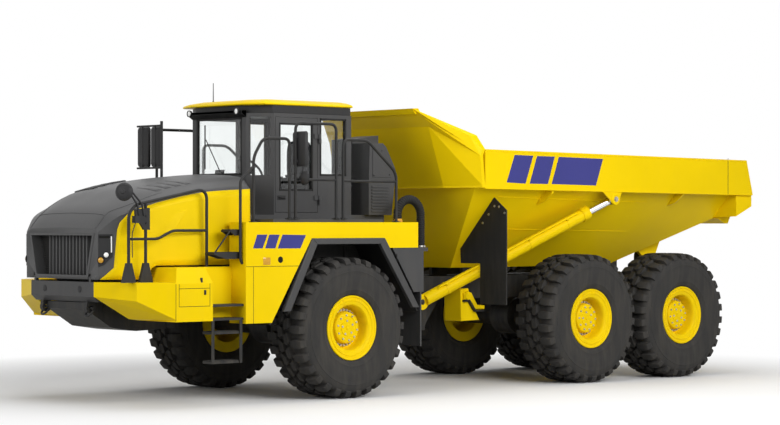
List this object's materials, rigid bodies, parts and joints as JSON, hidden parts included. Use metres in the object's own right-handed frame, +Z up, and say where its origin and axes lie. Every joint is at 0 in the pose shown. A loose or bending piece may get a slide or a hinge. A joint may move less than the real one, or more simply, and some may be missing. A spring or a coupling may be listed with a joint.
{
  "type": "articulated dump truck",
  "caption": "Six-wheel articulated dump truck with a front cab unit, steering and rolling hitch, tipping V-floor bed on hoist cylinders, tilting hood and a hinged cab door.",
  "frame": {"origin": "middle of the truck's length and width, on the ground", "axes": "+X forward towards the grille, +Y to the truck's left, +Z up"},
  "size_m": [11.85, 3.44, 4.2749],
  "materials": {
    "tyre": "satin",
    "rim_paint": "satin",
    "window_glass": "gloss",
    "hood_gray": "satin",
    "hood_yellow": "gloss",
    "yellow_paint": "gloss",
    "cylinder_paint": "gloss",
    "rod_chrome": "polished",
    "gray_paint": "satin",
    "black_rubber": "matte",
    "black_plastic": "matte",
    "lamp": "gloss",
    "machinery": "matte",
    "black_steel": "satin"
  },
  "bodies": {
    "front_unit": {"front_chassis": "black_steel", "front_axle": "black_steel", "engine_block": "machinery", "radiator": "machinery", "bumper_middle": "gray_paint", "tow_eyes": "black_steel", "bumper_wings": "yellow_paint", "side_boxes": "yellow_paint", "steps": "black_steel", "fenders": "yellow_paint", "arch_liners": "black_rubber", "rear_tanks": "gray_paint", "deck_floor": "gray_paint", "cab_shell": "gray_paint", "cab_glass": "window_glass", "cab_roof": "hood_yellow", "roof_lamps": "lamp", "cab_fittings": "black_plastic", "handrails": "black_steel", "mirrors": "black_plastic", "exhaust_stack": "gray_paint", "hose_arch": "black_rubber"},
    "hood": {"hood_top": "hood_gray", "hood_sides": "hood_yellow", "grille": "black_plastic", "headlamps": "lamp"},
    "door": {"cab_door": "gray_paint", "door_glass": "window_glass"},
    "hitch": {"hitch_yoke": "black_steel"},
    "rear_unit": {"rear_chassis": "black_steel", "rear_axles": "black_steel", "equalizer_beams": "black_steel", "tow_pin": "black_steel"},
    "bed": {"bed_floor": "yellow_paint", "bed_sides": "yellow_paint", "bed_front": "yellow_paint", "bed_flaps": "black_rubber"},
    "hoist_left_barrel": {"hoist_barrel_left": "cylinder_paint"},
    "hoist_left_rod": {"hoist_rod_left": "rod_chrome"},
    "steer_left_barrel": {"steer_barrel_left": "cylinder_paint"},
    "steer_left_rod": {"steer_rod_left": "rod_chrome"},
    "wheel_front_left": {"tyre_front_left": "tyre", "rim_front_left": "rim_paint"},
    "wheel_mid_left": {"tyre_mid_left": "tyre", "rim_mid_left": "rim_paint"},
    "wheel_rear_left": {"tyre_rear_left": "tyre", "rim_rear_left": "rim_paint"},
    "hoist_right_barrel": {"hoist_barrel_right": "cylinder_paint"},
    "hoist_right_rod": {"hoist_rod_right": "rod_chrome"},
    "steer_right_barrel": {"steer_barrel_right": "cylinder_paint"},
    "steer_right_rod": {"steer_rod_right": "rod_chrome"},
    "wheel_front_right": {"tyre_front_right": "tyre", "rim_front_right": "rim_paint"},
    "wheel_mid_right": {"tyre_mid_right": "tyre", "rim_mid_right": "rim_paint"},
    "wheel_rear_right": {"tyre_rear_right": "tyre", "rim_rear_right": "rim_paint"}
  },
  "joints": [
    {"name": "steer", "type": "hinge", "parent": "front_unit", "child": "hitch", "pos_m": [0.89, 0, 1.05], "axis": [0, 0, 1], "range_deg": [-45, 45]},
    {"name": "roll", "type": "hinge", "parent": "hitch", "child": "rear_unit", "pos_m": [0.29, 0, 1.05], "axis": [-1, 0, 0], "range_deg": [-15, 15]},
    {"name": "dump", "type": "hinge", "parent": "rear_unit", "child": "bed", "pos_m": [-4.71, 0, 1.8], "axis": [0, -1, 0], "range_deg": [0, 70]},
    {"name": "hood_tilt", "type": "hinge", "parent": "front_unit", "child": "hood", "pos_m": [5.895, 0.567, 1.635], "axis": [0, 1, 0], "range_deg": [0, 60]},
    {"name": "door_swing", "type": "hinge", "parent": "front_unit", "child": "door", "pos_m": [2.365, 0.91, 2.67], "axis": [0, 0, 1], "range_deg": [0, 50]},
    {"name": "wheel_front_left_spin", "type": "hinge", "parent": "front_unit", "child": "wheel_front_left", "pos_m": [2.44, 1.345, 0.9375], "axis": [0, 1, 0], "continuous": true},
    {"name": "wheel_front_right_spin", "type": "hinge", "parent": "front_unit", "child": "wheel_front_right", "pos_m": [2.44, -1.345, 0.9375], "axis": [0, 1, 0], "continuous": true},
    {"name": "wheel_mid_left_spin", "type": "hinge", "parent": "rear_unit", "child": "wheel_mid_left", "pos_m": [-2.175, 1.345, 0.9375], "axis": [0, 1, 0], "continuous": true},
    {"name": "wheel_mid_right_spin", "type": "hinge", "parent": "rear_unit", "child": "wheel_mid_right", "pos_m": [-2.175, -1.345, 0.9375], "axis": [0, 1, 0], "continuous": true},
    {"name": "wheel_rear_left_spin", "type": "hinge", "parent": "rear_unit", "child": "wheel_rear_left", "pos_m": [-4.162, 1.345, 0.9375], "axis": [0, 1, 0], "continuous": true},
    {"name": "wheel_rear_right_spin", "type": "hinge", "parent": "rear_unit", "child": "wheel_rear_right", "pos_m": [-4.162, -1.345, 0.9375], "axis": [0, 1, 0], "continuous": true},
    {"name": "hoist_left_swing", "type": "hinge", "parent": "rear_unit", "child": "hoist_left_barrel", "pos_m": [0.32, 0.7, 1.21], "axis": [0.4779, 0.3528, 0.8045], "range_deg": [-0.02, 5.97]},
    {"name": "hoist_left_stroke", "type": "slide", "parent": "hoist_left_barrel", "child": "hoist_left_rod", "axis": [-0.8775, 0.2336, 0.4188], "range_m": [-0.001, 2.4093]},
    {"name": "steer_left_swing", "type": "hinge", "parent": "front_unit", "child": "steer_left_barrel", "pos_m": [1.74, 0.56, 1.05], "axis": [0, 0, 1], "range_deg": [-8.4, 8.4]},
    {"name": "steer_left_stroke", "type": "slide", "parent": "steer_left_barrel", "child": "steer_left_rod", "axis": [-0.9908, -0.1355, 0], "range_m": [-0.33, 0.33]},
    {"name": "hoist_right_swing", "type": "hinge", "parent": "rear_unit", "child": "hoist_right_barrel", "pos_m": [0.32, -0.7, 1.21], "axis": [-0.4779, 0.3528, -0.8045], "range_deg": [-0.02, 5.97]},
    {"name": "hoist_right_stroke", "type": "slide", "parent": "hoist_right_barrel", "child": "hoist_right_rod", "axis": [-0.8775, -0.2336, 0.4188], "range_m": [-0.001, 2.4093]},
    {"name": "steer_right_swing", "type": "hinge", "parent": "front_unit", "child": "steer_right_barrel", "pos_m": [1.74, -0.56, 1.05], "axis": [0, 0, 1], "range_deg": [-8.4, 8.4]},
    {"name": "steer_right_stroke", "type": "slide", "parent": "steer_right_barrel", "child": "steer_right_rod", "axis": [-0.9908, 0.1355, 0], "range_m": [-0.33, 0.33]}
  ],
  "couplings": [
    {"joint": "hoist_left_swing", "follows": "dump", "ratio": 0.084897},
    {"joint": "hoist_left_stroke", "follows": "dump", "m_per_rad": 1.9712},
    {"joint": "steer_left_swing", "follows": "steer", "ratio": 0.18506},
    {"joint": "steer_left_stroke", "follows": "steer", "m_per_rad": 0.41654},
    {"joint": "hoist_right_swing", "follows": "dump", "ratio": 0.084897},
    {"joint": "hoist_right_stroke", "follows": "dump", "m_per_rad": 1.9712},
    {"joint": "steer_right_swing", "follows": "steer", "ratio": 0.18506},
    {"joint": "steer_right_stroke", "follows": "steer", "m_per_rad": -0.41654}
  ]
}
